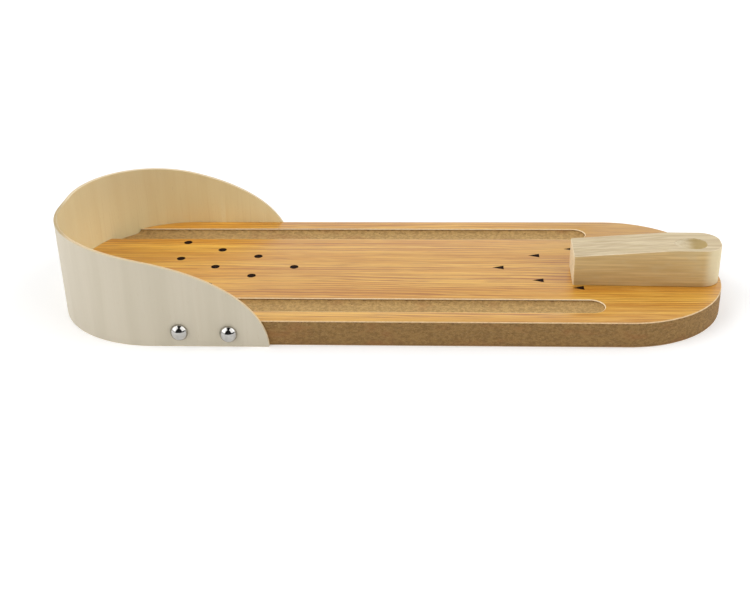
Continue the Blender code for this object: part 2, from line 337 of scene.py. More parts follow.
def laminate_material():
    """Honey-coloured pine laminate with straight grain along X and a satin coat, with painted light
    at the far pin corner and painted shade at the far bowler corner.
    """
    recipe = Recipe("honey_pine_laminate", Specular_IOR_Level=0.8)
    here = recipe.position()
    along, across = recipe.part(here, 0), recipe.part(here, 1)
    drift = recipe.noise(here, (210, 26, 30), 2)
    bent = recipe.sway(here, drift, (0, 16, 0))
    ripple = recipe.noise(here, (34, 5, 30), 2)
    bent = recipe.sway(bent, ripple, (0, 0.9, 0))
    lines = recipe.ring_lines(recipe.part(bent, 1), 2.5, 0.15, 0.92)
    patches = recipe.noise(here, (95, 5.5, 30), 2, offset=(40, 7, 0))
    lines = recipe.maths("MULTIPLY", lines, recipe.spread(patches, 0.36, 0.68))
    bands = recipe.noise(here, (170, 4.2, 30), 3, offset=(11, 3, 0))
    reds = recipe.noise(here, (130, 3.0, 30), 2, offset=(70, 21, 0))
    fibres = recipe.noise(bent, (22, 0.32, 10), 4, 0.6)
    dashes = recipe.noise(bent, (5.5, 0.22, 10), 2, 0.5, offset=(3, 50, 0))
    streaks = recipe.noise(bent, (18, 0.4, 10), 2, 0.5, offset=(29, 90, 0))
    pale = recipe.noise(bent, (20, 0.6, 10), 2, 0.5, offset=(77, 15, 0))
    colour = recipe.between(bands, 0.3, 0.7, tone(209, 148, 44), tone(240, 188, 80))
    colour = recipe.stain(colour, reds, 0.5, 0.68, 0.4, tone(206, 132, 36))
    colour = recipe.blend(lines, colour, tone(172, 102, 16))
    colour = recipe.stain(colour, fibres, 0.62, 0.3, 0.42, tone(178, 108, 20))
    colour = recipe.stain(colour, dashes, 0.66, 0.74, 0.4, tone(140, 78, 14))
    colour = recipe.stain(colour, streaks, 0.57, 0.68, 0.6, tone(150, 84, 14))
    colour = recipe.stain(colour, pale, 0.56, 0.72, 0.55, tone(244, 198, 98))
    # Painted light: the far pin corner inside the backstop is brightened and warmed, as if by light
    # bounced off the strip.
    pin_corner_painted_light = recipe.maths("MULTIPLY", recipe.spread(along, -45, -95),
                              recipe.spread(across, 12, 34, 0.25, 1.0))
    colour = recipe.blend(pin_corner_painted_light, colour, PIN_CORNER_PAINTED_LIGHT, "MULTIPLY")
    # Painted shade: the far side of the bowler's end is darkened.
    bowler_corner_painted_shade = recipe.maths("MULTIPLY", recipe.spread(along, 50, 100),
                                 recipe.spread(across, -30, 30))
    colour = recipe.blend(bowler_corner_painted_shade, colour, BOWLER_CORNER_PAINTED_SHADE, "MULTIPLY")
    rough = recipe.spread(fibres, 0.2, 0.8, 0.30, 0.42)
    bump = recipe.relief(fibres, 0.012)
    return recipe.finish(Base_Color=colour, Roughness=rough, Normal=bump)


def laminate_edge_material():
    """Raw cut edge of the laminate, paler than its face and palest round the gutters."""
    recipe = Recipe("laminate_cut_edge", Roughness=0.6)
    here = recipe.position()
    chips = recipe.noise(here, (1.4, 1.4, 0.5), 3, 0.6)
    outer = recipe.between(chips, 0.3, 0.7, tone(214, 180, 132), tone(236, 206, 160))
    inner = recipe.between(chips, 0.3, 0.7, tone(244, 214, 166), tone(254, 234, 196))
    lip = recipe.maths("MULTIPLY", recipe.spread(recipe.size_of(recipe.part(here, 1)), 49, 47),
                       recipe.spread(recipe.part(here, 0), 99, 96))
    colour = recipe.blend(lip, outer, inner)
    return recipe.finish(Base_Color=colour, Normal=recipe.relief(chips, 0.04))


def mark_material():
    """Dark brown scorch of the pressed marks."""
    recipe = Recipe("scorched_mark", Roughness=0.85, Specular_IOR_Level=0.1)
    soot = recipe.noise(recipe.position(), (0.5, 0.3, 0.5), 3, 0.6)
    colour = recipe.between(soot, 0.3, 0.75, tone(18, 9, 6), tone(46, 26, 15))
    return recipe.finish(Base_Color=colour, Normal=recipe.relief(soot, 0.05))


def mdf_material(name, light, dark, fuzz):
    """Cut medium-density fibreboard: fibre flecks, dark specks, slow warm clouds, chipped edge, and
    painted contact shadow along the bottom.
    """
    recipe = Recipe(name, Roughness=0.9)
    here = recipe.position()
    level = recipe.part(here, 2)
    clouds = recipe.noise(here, (14, 14, 5), 2, offset=(5, 9, 2))
    flecks = recipe.noise(here, (0.5, 0.5, 0.3), 4, 0.7)
    fibres = recipe.noise(here, (1.1, 1.1, 0.28), 3, 0.65, offset=(21, 4, 8))
    specks = recipe.noise(here, (0.8, 0.8, 0.55), 1, offset=(60, 31, 12))
    mottle = recipe.noise(here, (1.7, 1.7, 1.1), 2, 0.55, offset=(33, 17, 4))
    chips = recipe.noise(here, (1.3, 1.3, 0.9), 1, offset=(2, 71, 5))
    chips = recipe.maths("MULTIPLY", recipe.spread(chips, 0.58, 0.66),
                         recipe.spread(level, 10.3, 10.9, 0.0, 0.6))
    colour = recipe.between(flecks, 0.25, 0.75, dark, light)
    shade = recipe.between(mottle, 0.32, 0.68, tone(220, 218, 214), tone(255, 255, 255))
    colour = recipe.blend(1.0, colour, shade, "MULTIPLY")
    colour = recipe.stain(colour, fibres, 0.5, 0.7, 0.22, tone(206, 172, 122))
    colour = recipe.stain(colour, clouds, 0.5, 0.8, 0.35, tone(160, 100, 56))
    colour = recipe.stain(colour, specks, 0.67, 0.76, 0.7, tone(84, 56, 34))
    colour = recipe.blend(chips, colour, tone(92, 62, 36))
    # Painted contact shadow: darker over the lowest millimetre, where the board stands on the
    # floor.
    colour = recipe.stain(colour, level, 1.5, 0.4, 0.35, tone(104, 74, 42))
    height = recipe.maths("ADD", flecks, fibres)
    return recipe.finish(Base_Color=colour, Normal=recipe.relief(height, fuzz))


def backing_material():
    """Plain brown balancing paper under the board."""
    recipe = Recipe("balancing_paper")
    here = recipe.position()
    pulp = recipe.noise(here, (0.9, 0.5, 0.5), 4, 0.65)
    clouds = recipe.noise(here, (26, 18, 10), 3, offset=(7, 2, 0))
    scuffs = recipe.noise(here, (30, 0.8, 10), 2, offset=(90, 13, 0))
    colour = recipe.between(pulp, 0.3, 0.7, tone(176, 144, 102), tone(190, 159, 117))
    colour = recipe.stain(colour, clouds, 0.4, 0.75, 0.5, tone(168, 134, 94))
    colour = recipe.stain(colour, scuffs, 0.68, 0.78, 0.4, tone(208, 182, 146))
    rough = recipe.spread(pulp, 0.2, 0.8, 0.55, 0.72)
    bump = recipe.relief(pulp, 0.015)
    return recipe.finish(Base_Color=colour, Roughness=rough, Normal=bump)


def ply_face_material():
    """Sanded face veneer of the strip, grain upright: pale outside; inside, painted warm bounce
    light from the lane, brightest low down and fading going up.
    """
    recipe = Recipe("sanded_ply_veneer_painted_bounce")
    here = recipe.strip_position()
    ripple = recipe.noise(here, (6, 40, 3), 2)
    bent = recipe.sway(here, ripple, (3.0, 0, 0))
    bands = recipe.noise(bent, (7, 160, 3), 2, offset=(3, 0, 0))
    grain = recipe.noise(bent, (0.85, 42, 3), 3, 0.55, offset=(17, 5, 0))
    pores = recipe.noise(bent, (0.2, 3.2, 3), 2, 0.5, offset=(4, 70, 0))
    outside = recipe.between(bands, 0.3, 0.7, tone(203, 193, 171), tone(209, 199, 178))
    outside = recipe.stain(outside, grain, 0.5, 0.3, 0.12, tone(196, 182, 154))
    # Painted light inside: the same veneer warmed as if by light bounced off the lane, and brighter
    # low down where the bowl of the strip is shaded.
    low = recipe.between(bands, 0.3, 0.7, tone(250, 236, 186), tone(253, 241, 193))
    high = recipe.between(bands, 0.3, 0.7, tone(225, 206, 158), tone(228, 211, 165))
    inside = recipe.between(recipe.part(here, 1), 10, 46, low, high)
    inside = recipe.stain(inside, grain, 0.5, 0.3, 0.12, tone(216, 190, 128))
    colour = recipe.between(recipe.part(here, 2), -0.2, 0.2, inside, outside)
    colour = recipe.stain(colour, pores, 0.66, 0.78, 0.3, tone(178, 150, 108))
    middle = recipe.spread(recipe.size_of(recipe.part(here, 0)), 85, 40)
    colour = recipe.blend(middle, colour, tone(246, 246, 247), "MULTIPLY")
    rough = recipe.spread(grain, 0.2, 0.8, 0.5, 0.62)
    bump = recipe.relief(recipe.maths("SUBTRACT", grain, pores), 0.02)
    return recipe.finish(Base_Color=colour, Roughness=rough, Normal=bump)


def ply_edge_material():
    """Cut edge of the strip: two face veneers, the outer one darker, and a cross veneer."""
    recipe = Recipe("ply_cut_edge", Roughness=0.7)
    here = recipe.strip_position()
    outward = recipe.part(here, 2)
    from_middle = recipe.size_of(outward)
    ends = recipe.noise(here, (0.35, 0.35, 0.35), 3, 0.6)
    runs = recipe.noise(here, (9, 9, 0.2), 2, offset=(8, 2, 0))
    veneer = recipe.between(runs, 0.3, 0.7, tone(246, 230, 198), tone(236, 217, 178))
    veneer = recipe.between(outward, 0.1, 0.35, veneer, tone(220, 202, 166))
    core = recipe.between(ends, 0.3, 0.7, tone(222, 196, 150), tone(236, 212, 170))
    colour = recipe.between(from_middle, 0.22, 0.27, core, veneer)
    from_glue = recipe.size_of(recipe.maths("SUBTRACT", from_middle, 0.25))
    colour = recipe.stain(colour, from_glue, 0.07, 0.0, 0.5, tone(160, 122, 78))
    from_dark = recipe.size_of(recipe.maths("ADD", recipe.part(here, 0), 22))
    dark = recipe.spread(from_dark, 28, 14)
    colour = recipe.blend(dark, colour, tone(221, 216, 202), "MULTIPLY")
    return recipe.finish(Base_Color=colour, Normal=recipe.relief(ends, 0.03))


def chrome_material():
    """Bright nickel plate with hair-fine handling scratches."""
    recipe = Recipe("bright_nickel", Metallic=1.0)
    here = recipe.position()
    haze = recipe.noise(here, (1.6, 1.6, 1.6), 3)
    scratches = recipe.noise(here, (0.08, 1.2, 1.6), 2, offset=(9, 1, 5))
    colour = recipe.between(haze, 0.3, 0.7, tone(174, 172, 168), tone(188, 186, 182))
    rough = recipe.spread(haze, 0.3, 0.75, 0.05, 0.12)
    bump = recipe.relief(scratches, 0.0015)
    return recipe.finish(Base_Color=colour, Roughness=rough, Normal=bump)


def ramp_material(name, light, dark, rings_share, fade=None, end_colour=None):
    """Pale solid hardwood: growth rings about an axis along the ramp, pores and soft streaks.

    An end colour, if given, fades in along the ramp between the two places in fade: painted light
    at the round end of the sides, painted shade towards the steep wall of the seat.
    """
    recipe = Recipe(name)
    here = recipe.vector("SUBTRACT", recipe.position(), tuple(RAMP_CENTRE / MM))
    drift = recipe.noise(here, (60, 7, 7), 2)
    bent = recipe.sway(here, drift, (0, 3.0, 3.0))
    from_axis = recipe.vector("MULTIPLY", recipe.vector("ADD", bent, (0, 17, 24)), (0, 1, 1))
    lines = recipe.ring_lines(recipe.length(from_axis), 1.9, 0.3, 0.94)
    streaks = recipe.noise(here, (30, 1.2, 1.2), 3, 0.55, offset=(12, 3, 1))
    fibres = recipe.noise(bent, (9, 0.22, 0.22), 3, 0.6)
    pores = recipe.noise(bent, (2.2, 0.16, 0.16), 1, offset=(1, 33, 9))
    clouds = recipe.noise(here, (9, 4, 4), 2, offset=(31, 8, 5))
    colour = recipe.between(streaks, 0.25, 0.75, dark, light)
    colour = recipe.stain(colour, clouds, 0.5, 0.7, 0.3, tone(206, 190, 146))
    rings = recipe.maths("MULTIPLY", lines, rings_share)
    colour = recipe.blend(rings, colour, tone(184, 156, 112))
    colour = recipe.stain(colour, fibres, 0.5, 0.3, 0.22, tone(186, 160, 118))
    colour = recipe.stain(colour, pores, 0.7, 0.8, 0.3, tone(152, 122, 84))
    if fade:
        start, end = fade
        colour = recipe.stain(colour, recipe.part(here, 0), start / MM, end / MM, 0.8, end_colour)
    rough = recipe.spread(fibres, 0.2, 0.8, 0.52, 0.66)
    bump = recipe.relief(recipe.maths("SUBTRACT", fibres, pores), 0.02)
    return recipe.finish(Base_Color=colour, Roughness=rough, Normal=bump)


def floor_material():
    """Matt white studio floor, glowing more away from the object so that it stays white."""
    recipe = Recipe("studio_floor", Roughness=0.9, Specular_IOR_Level=0.1,
                    Base_Color=(FLOOR_TONE, FLOOR_TONE, FLOOR_TONE, 1.0),
                    Emission_Color=(1.0, 1.0, 1.0, 1.0))
    away = recipe.length(recipe.position())
    glow = recipe.spread(away, *FLOOR_GLOW_REACH, FLOOR_GLOW_NEAR, FLOOR_GLOW_FAR)
    return recipe.finish(Emission_Strength=glow)


def arc(centre, radius, start, end, steps):
    """Return points along an arc, both ends included."""
    angles = [start + (end - start) * step / steps for step in range(steps + 1)]
    return [(centre[0] + radius * cos(angle), centre[1] + radius * sin(angle)) for angle in angles]


def quarter_round(radius, steps=4):
    """Return (inset, rise) pairs from an edge's wall to its face, along a quarter circle."""
    turns = [pi / 2 * step / steps for step in range(steps + 1)]
    return [(radius * (1 - cos(turn)), radius * sin(turn)) for turn in turns]


def plain_outline(inset):
    """Return the board's plan without its gutters, moved inwards."""
    corners = ((1, 1, CORNER_RADIUS), (-1, 1, PIN_CORNER_RADIUS),
               (-1, -1, PIN_CORNER_RADIUS), (1, -1, CORNER_RADIUS))
    points = []
    for quarter, (x, y, radius) in enumerate(corners):
        centre = (x * (HALF_LENGTH - radius), y * (HALF_WIDTH - radius))
        start = quarter * pi / 2
        points += arc(centre, radius - inset, start, start + pi / 2, CORNER_STEPS)
    return points


def slotted_outline(inset):
    """Return the board's plan with both gutters open at the pin end, moved inwards."""
    centre = (HALF_LENGTH - CORNER_RADIUS, HALF_WIDTH - CORNER_RADIUS)
    pin_centre = (PIN_CENTRE_X, PIN_STRAIGHT)
    radius = PIN_CORNER_RADIUS - inset
    half_slot = ROUTER_RADIUS + inset
    outer = pi - asin((GUTTER_Y + half_slot - PIN_STRAIGHT) / radius)
    inner = pi - asin((GUTTER_Y - half_slot - PIN_STRAIGHT) / radius)
    half = arc(centre, CORNER_RADIUS - inset, 0, pi / 2, CORNER_STEPS)
    half += arc(pin_centre, radius, pi / 2, outer, CORNER_STEPS // 2)
    half += arc((GUTTER_CENTRE_X, GUTTER_Y), half_slot, pi / 2, -pi / 2, CORNER_STEPS)
    half += arc(pin_centre, radius, inner, pi, CORNER_STEPS // 2)
    return half + [(x, -y) for x, y in reversed(half)]


def add_ring(bm, outline, height):
    """Add a closed loop of points at one height."""
    return [bm.verts.new((x, y, height)) for x, y in outline]


def add_wall(bm, first, second, smooth=True, material=0):
    """Join two loops of the same length with a band of faces."""
    for index, vert in enumerate(first):
        following = (index + 1) % len(first)
        face = bm.faces.new((vert, first[following], second[following], second[index]))
        face.smooth = smooth
        face.material_index = material


def add_cap(bm, *rings, material=0):
    """Fill the flat area inside the first loop and outside the others."""
    edges = []
    for ring in rings:
        for near, far in zip(ring, ring[1:] + ring[:1]):
            edges.append(bm.edges.get((near, far)) or bm.edges.new((near, far)))
    filled = bmesh.ops.triangle_fill(bm, use_beauty=True, use_dissolve=False, edges=edges)
    for item in filled["geom"]:
        if isinstance(item, bmesh.types.BMFace):
            item.smooth = False
            item.material_index = material


def new_piece(name, bm, materials):
    """Turn a bmesh into a named object with its faces pointing out."""
    bmesh.ops.recalc_face_normals(bm, faces=bm.faces)
    mesh = bpy.data.meshes.new(name)
    bm.to_mesh(mesh)
    bm.free()
    for material in materials:
        mesh.materials.append(material)
    piece = bpy.data.objects.new(name, mesh)
    bpy.context.scene.collection.objects.link(piece)
    return piece


def turned(name, profile, steps, place, materials=()):
    """Return a solid turned from (radius, height) pairs round the place's own Z axis."""
    bm = bmesh.new()
    points = [bm.verts.new((radius, 0.0, height)) for radius, height in profile]
    edges = [bm.edges.new(pair) for pair in zip(points, points[1:])]
    bmesh.ops.spin(bm, geom=points + edges, axis=(0, 0, 1), cent=(0, 0, 0), angle=2 * pi,
                   steps=steps)
    bmesh.ops.remove_doubles(bm, verts=bm.verts, dist=MERGE_DISTANCE)
    for face in bm.faces:
        face.smooth = True
    bmesh.ops.transform(bm, matrix=place, verts=bm.verts)
    return new_piece(name, bm, materials)


def router_path(y):
    """Return the solid swept by the router bit along a gutter, from beyond the pin end."""
    rings = [(ROUTER_RADIUS, 2 * GUTTER_DEPTH)]
    for inset, rise in quarter_round(ROUTER_CORNER_RADIUS, ROUTER_CORNER_STEPS):
        rings.append((ROUTER_RADIUS - inset, ROUTER_CORNER_RADIUS - rise))
    bm = bmesh.new()
    start_x = -HALF_LENGTH - 2 * ROUTER_RADIUS
    last = None
    for radius, height in rings:
        half = arc((GUTTER_CENTRE_X, y), radius, pi / 2, -pi / 2, ROUTER_STEPS)
        outline = [(start_x, y + radius), *half, (start_x, y - radius)]
        ring = add_ring(bm, outline, GUTTER_FLOOR + height)
        if last:
            add_wall(bm, last, ring)
        else:
            add_cap(bm, ring)
        last = ring
    add_cap(bm, last)
    return new_piece("router", bm, ())


def carve(piece, cutters, crease):
    """Cut the cutters out of the piece, for good, and take them away."""
    for cutter in cutters:
        boolean = piece.modifiers.new("cut", "BOOLEAN")
        boolean.operation = "DIFFERENCE"
        boolean.object = cutter
    graph = bpy.context.evaluated_depsgraph_get()
    carved = bpy.data.meshes.new_from_object(piece.evaluated_get(graph), depsgraph=graph)
    piece.modifiers.clear()
    piece.data = carved
    for cutter in cutters:
        bpy.data.objects.remove(cutter)
    carved.set_sharp_from_angle(angle=crease)


def settle(piece, body, node):
    """Let the piece stand for a CAD node and ride on its body."""
    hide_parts(node)
    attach(piece, body)


def nail_places():
    """Return each nail's (node, x, outermost y, z, facing) from the frame."""
    places = []
    for node in NAIL_NODES:
        low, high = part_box(node)
        facing = 1 if low.y + high.y > 0 else -1
        tip_y = high.y if facing > 0 else low.y
        places.append((node, (low.x + high.x) / 2, tip_y, (low.z + high.z) / 2, facing))
    return places


def nail_frame(x, seat_y, z, facing):
    """Return the matrix that stands a turned nail on its seat, facing +Y or -Y."""
    return Matrix.Translation((x, seat_y, z)) @ Matrix.Rotation(-facing * pi / 2, 4, "X")


def nail_hole_cutters():
    """Return a rod for each nail's hole, through the strip and into the core."""
    cutters = []
    for node, x, tip_y, z, facing in nail_places():
        depth = -NAIL_SHANK_LENGTH - NAIL_HOLE_EXTRA
        profile = [(0.0, NAIL_HEAD_HEIGHT), (NAIL_HOLE_RADIUS, NAIL_HEAD_HEIGHT),
                   (NAIL_HOLE_RADIUS, depth), (0.0, depth)]
        place = nail_frame(x, tip_y - facing * NAIL_HEAD_HEIGHT, z, facing)
        cutters.append(turned("hole_" + node, profile, NAIL_HOLE_STEPS, place))
    return cutters


def make_lane_surface(laminate, edge, mark):
    """Make the laminate, with its eased cut edge and the marks pressed into its face."""
    edge_slot, mark_slot = 1, 2
    bm = bmesh.new()
    last = add_ring(bm, slotted_outline(0), SURFACE_LOW.z)
    add_cap(bm, last, material=edge_slot)
    for inset, rise in quarter_round(LAMINATE_EDGE):
        ring = add_ring(bm, slotted_outline(inset), BOARD_TOP - LAMINATE_EDGE + rise)
        add_wall(bm, last, ring, material=edge_slot)
        last = ring
    holes = []
    for outline in mark_outlines():
        rim = add_ring(bm, outline(0.0), BOARD_TOP)
        pit = add_ring(bm, outline(MARK_SLOPE), BOARD_TOP - MARK_DEPTH)
        add_wall(bm, rim, pit, smooth=False, material=mark_slot)
        add_cap(bm, pit, material=mark_slot)
        holes.append(rim)
    add_cap(bm, last, *holes)
    piece = new_piece("lane_laminate_sheet", bm, (laminate, edge, mark))
    piece.data.set_sharp_from_angle(angle=SHEET_CREASE)
    settle(piece, "lane", "lane_surface")


def spot_outline(centre, inset):
    """Return a pin spot's outline, moved inwards."""
    last_turn = 2 * pi * (SPOT_STEPS - 1) / SPOT_STEPS
    return arc(centre, SPOT_RADIUS - inset, 0, last_turn, SPOT_STEPS - 1)


def arrow_outline(tip, inset):
    """Return an arrow's outline, moved inwards. Its sharp corners move by more than the inset."""
    x, y = tip
    base = x + ARROW_LENGTH - inset
    half_width = ARROW_HALF_WIDTH - ARROW_CORNER_SHIFT * inset
    return [(x + ARROW_TIP_SHIFT * inset, y), (base, y - half_width), (base, y + half_width)]


def mark_outlines():
    """Return a function of the inset for the outline of each spot and arrow."""
    outlines = []
    for row in range(SPOT_ROWS):
        for place in range(row + 1):
            nudge_x, nudge_y = SPOT_NUDGES.get((row, place), (0.0, 0.0))
            centre = (HEAD_SPOT_X - row * SPOT_ROW_PITCH + nudge_x,
                      (place - row / 2) * SPOT_PITCH + nudge_y)
            outlines.append(partial(spot_outline, centre))
    for x, y in ARROW_TIPS:
        outlines += [partial(arrow_outline, (x, side)) for side in {y, -y}]
    return outlines


def make_lane_core(mdf, routed):
    """Make the board's core with both gutters routed out and the nails' holes."""
    bm = bmesh.new()
    outline = plain_outline(0)
    bottom = add_ring(bm, outline, CORE_LOW.z)
    top = add_ring(bm, outline, SURFACE_LOW.z)
    add_wall(bm, bottom, top)
    add_cap(bm, bottom)
    add_cap(bm, top)
    piece = new_piece("lane_mdf_core", bm, (mdf, routed))
    carve(piece, nail_hole_cutters() + [router_path(-GUTTER_Y), router_path(GUTTER_Y)], CORE_CREASE)
    # Gutter floors take the pale routed finish; the steep gutter walls keep the darker sawn finish
    # as painted shade under the lip.
    for face in piece.data.polygons:
        _, y, z = face.center
        aside = abs(abs(y) - GUTTER_Y) < ROUTER_RADIUS + GUTTER_TOLERANCE
        deep = GUTTER_FLOOR - GUTTER_TOLERANCE < z < SURFACE_LOW.z - GUTTER_TOLERANCE
        in_gutter = aside and deep and face.normal.z > LEAST_FLOOR_NORMAL
        face.material_index = 1 if in_gutter else 0
    settle(piece, "lane", "lane_core")


def make_backing(paper):
    """Make the sheet under the board, with its lower edge eased."""
    bm = bmesh.new()
    last = add_ring(bm, plain_outline(0), CORE_LOW.z)
    add_cap(bm, last)
    for inset, rise in quarter_round(BOTTOM_EDGE):
        ring = add_ring(bm, plain_outline(inset), BACKING_LOW.z + BOTTOM_EDGE - rise)
        add_wall(bm, last, ring)
        last = ring
    add_cap(bm, last)
    piece = new_piece("balancing_sheet", bm, (paper,))
    piece.data.set_sharp_from_angle(angle=SHEET_CREASE)
    settle(piece, "lane", "underside_backing")


def strip_point(distance, outward):
    """Return the plan point at a distance round the strip and outward of its middle layer."""
    reach = abs(distance)
    side = copysign(1, distance)
    if reach < PIN_STRAIGHT:
        return (PIN_CENTRE_X - STRIP_RADIUS - outward, distance)
    turn = min((reach - PIN_STRAIGHT) / STRIP_RADIUS, pi / 2)
    along = max(reach - PIN_STRAIGHT - STRIP_RADIUS * pi / 2, 0.0)
    radius = STRIP_RADIUS + outward
    return (PIN_CENTRE_X - radius * cos(turn) + along, side * (PIN_STRAIGHT + radius * sin(turn)))


def strip_place(x, y):
    """Return the distance round the strip and outward of its middle layer, for a plan point."""
    side = copysign(1, y)
    beyond = abs(y) - PIN_STRAIGHT
    if beyond <= 0:
        return (y, PIN_CENTRE_X - STRIP_RADIUS - x)
    if x >= PIN_CENTRE_X:
        quarter = PIN_STRAIGHT + STRIP_RADIUS * pi / 2
        return (side * (quarter + x - PIN_CENTRE_X), beyond - STRIP_RADIUS)
    turn = atan2(beyond, PIN_CENTRE_X - x)
    return (side * (PIN_STRAIGHT + STRIP_RADIUS * turn),
            hypot(beyond, PIN_CENTRE_X - x) - STRIP_RADIUS)


def strip_section(height):
    """Return the strip's cross-section as (outward, up) points, with eased edges."""
    half = PLY_THICKNESS / 2
    top = min(PLY_TOP_ROUND, height / 3)
    foot = min(PLY_FOOT_ROUND, height / 3)
    quarter = pi / 2
    return (arc((half - foot, foot), foot, -quarter, 0, 2)
            + arc((half - top, height - top), top, 0, quarter, 5)
            + arc((top - half, height - top), top, quarter, 2 * quarter, 5)
            + arc((foot - half, foot), foot, 2 * quarter, 3 * quarter, 2))


def make_backstop(veneer, cut_edge):
    """Make the bent plywood strip, whose top edge is a superellipse from end to end."""
    bm = bmesh.new()
    columns = []
    for step in range(1, BACKSTOP_STEPS):
        share = sin(pi * (step / BACKSTOP_STEPS - 0.5))
        distance = BACKSTOP_SHIFT + BACKSTOP_HALF_LENGTH * share
        height = BACKSTOP_HEIGHT * sqrt(1 - abs(share) ** BACKSTOP_FULLNESS)
        section = strip_section(height)
        columns.append([bm.verts.new((*strip_point(distance, out), up)) for out, up in section])
    for near, far in zip(columns, columns[1:]):
        add_wall(bm, near, far)
    bm.faces.new(columns[0])
    bm.faces.new(columns[-1])
    piece = new_piece("backstop_ply_strip", bm, (veneer, cut_edge))
    carve(piece, nail_hole_cutters(), SHEET_CREASE)
    mesh = piece.data
    places = [(*strip_place(vert.co.x, vert.co.y), vert.co.z) for vert in mesh.vertices]
    strip = mesh.attributes.new("strip", "FLOAT_VECTOR", "POINT")
    strip.data.foreach_set("vector", [value for s, out, up in places for value in (s, up, out)])
    for face in mesh.polygons:
        outs = [places[index][1] for index in face.vertices]
        face.material_index = 1 if max(outs) - min(outs) > PLY_EDGE_SPAN else 0
    settle(piece, "lane", "backstop")


def nail_profile(radius):
    """Return half of a nail's section, from the top of its dome to its point."""
    rise = NAIL_HEAD_HEIGHT - NAIL_HEAD_RIM
    ball = (radius ** 2 + rise ** 2) / (2 * rise)
    centre = (0.0, NAIL_HEAD_HEIGHT - ball)
    rim_angle = atan2(NAIL_HEAD_RIM - centre[1], radius)
    dome = arc(centre, ball, pi / 2, rim_angle, NAIL_DOME_STEPS)
    rim = arc((radius - NAIL_RIM_FOLD, NAIL_RIM_FOLD), NAIL_RIM_FOLD, 0, -pi / 2, NAIL_FOLD_STEPS)
    underside = [(radius * share, height) for share, height in NAIL_UNDERSIDE]
    point = [(NAIL_SHANK_RADIUS, NAIL_POINT_LENGTH - NAIL_SHANK_LENGTH), (0.0, -NAIL_SHANK_LENGTH)]
    return [*dome, *rim, *underside, *NAIL_NECK, *point]


def make_nails(chrome):
    """Make the four nails, each on its CAD nail's place."""
    for node, x, tip_y, z, facing in nail_places():
        low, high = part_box(node)
        place = nail_frame(x, tip_y - facing * NAIL_HEAD_HEIGHT, z, facing)
        profile = nail_profile((high.x - low.x) / 2)
        nail = turned(node + "_bright", profile, NAIL_STEPS, place, (chrome,))
        nail.data.set_sharp_from_angle(angle=NAIL_CREASE)
        settle(nail, "lane", node)


def soft_min(first, second, width):
    """Return the lower of two heights, with the step between them rounded."""
    share = min(max(0.5 + (second - first) / (2 * width), 0.0), 1.0)
    return second + (first - second) * share - width * share * (1 - share)


def ramp_top(x):
    """Return the height of the ramp's top, without its seat."""
    crease = RAMP_SLOPE_LENGTH - RAMP_LENGTH / 2
    slope = (RAMP_HIGH - RAMP_LOW) / RAMP_SLOPE_LENGTH
    return soft_min(RAMP_HIGH, RAMP_HIGH + (x - crease) * slope, CREASE_SOFTNESS)


def seat_floor(x, y):
    """Return the height of the seat's swept ball over a point, or infinity beyond its reach."""
    lowest = inf
    for step in range(SEAT_SWEEP_STEPS + 1):
        share = step / SEAT_SWEEP_STEPS
        centre_x = RAMP_LENGTH / 2 - SEAT_FROM_END - share * SEAT_RUN_OUT
        centre_z = RAMP_HIGH - SEAT_DEPTH + SEAT_RADIUS + share * SEAT_RUN_OUT_RISE
        reach = SEAT_RADIUS ** 2 - (x - centre_x) ** 2 - (y - SEAT_ASIDE) ** 2
        if reach > 0:
            lowest = min(lowest, centre_z - sqrt(reach))
    return lowest


def ramp_height(x, y):
    """Return the height of the ramp's finished top over a point."""
    top = ramp_top(x)
    seat = seat_floor(x, y)
    return top if seat > top + SEAT_LIP else soft_min(top, seat, SEAT_LIP)


def ramp_outline(inset):
    """Return the ramp's plan, moved inwards, with points about a millimetre apart."""
    end = RAMP_LENGTH / 2
    side = RAMP_WIDTH / 2
    corners = ((end, -side, RAMP_END_RADIUS, RAMP_END_STEPS),
               (end, side, RAMP_END_RADIUS, RAMP_END_STEPS),
               (-end, side, RAMP_CORNER_RADIUS, RAMP_CORNER_STEPS),
               (-end, -side, RAMP_CORNER_RADIUS, RAMP_CORNER_STEPS))
    points = []
    for quarter, (x, y, radius, steps) in enumerate(corners, start=-1):
        centre = (x - copysign(radius, x), y - copysign(radius, y))
        start = quarter * pi / 2
        points += arc(centre, radius - inset, start, start + pi / 2, steps)
    spaced = []
    for near, far in zip(points, points[1:] + points[:1]):
        run, rise = far[0] - near[0], far[1] - near[1]
        pieces = max(1, round(hypot(run, rise) / RAMP_OUTLINE_PITCH))
        spaced += [(near[0] + run * part / pieces, near[1] + rise * part / pieces)
                   for part in range(pieces)]
    return spaced


def ramp_grid(inset):
    """Return points inside the ramp's plan, close together round the seat."""
    end = RAMP_LENGTH / 2 - inset
    side = RAMP_WIDTH / 2 - inset
    points = []
    zones = ((RAMP_GRID_PITCH, -end, SEAT_GRID_START),
             (SEAT_GRID_PITCH, SEAT_GRID_START, SEAT_GRID_END),
             (RAMP_GRID_PITCH, SEAT_GRID_END, end))
    for pitch, low_x, high_x in zones:
        columns = int((high_x - low_x) / pitch)
        rows = int(2 * side / pitch)
        for column in range(columns):
            for row in range(1, rows):
                points.append((low_x + (column + 0.5) * pitch, -side + row * 2 * side / rows))
    centre_x = RAMP_LENGTH / 2 - RAMP_END_RADIUS
    centre_y = RAMP_WIDTH / 2 - RAMP_END_RADIUS
    limit = RAMP_END_RADIUS - inset
    return [(x, y) for x, y in points
            if x < centre_x or abs(y) < centre_y or hypot(x - centre_x, abs(y) - centre_y) < limit]


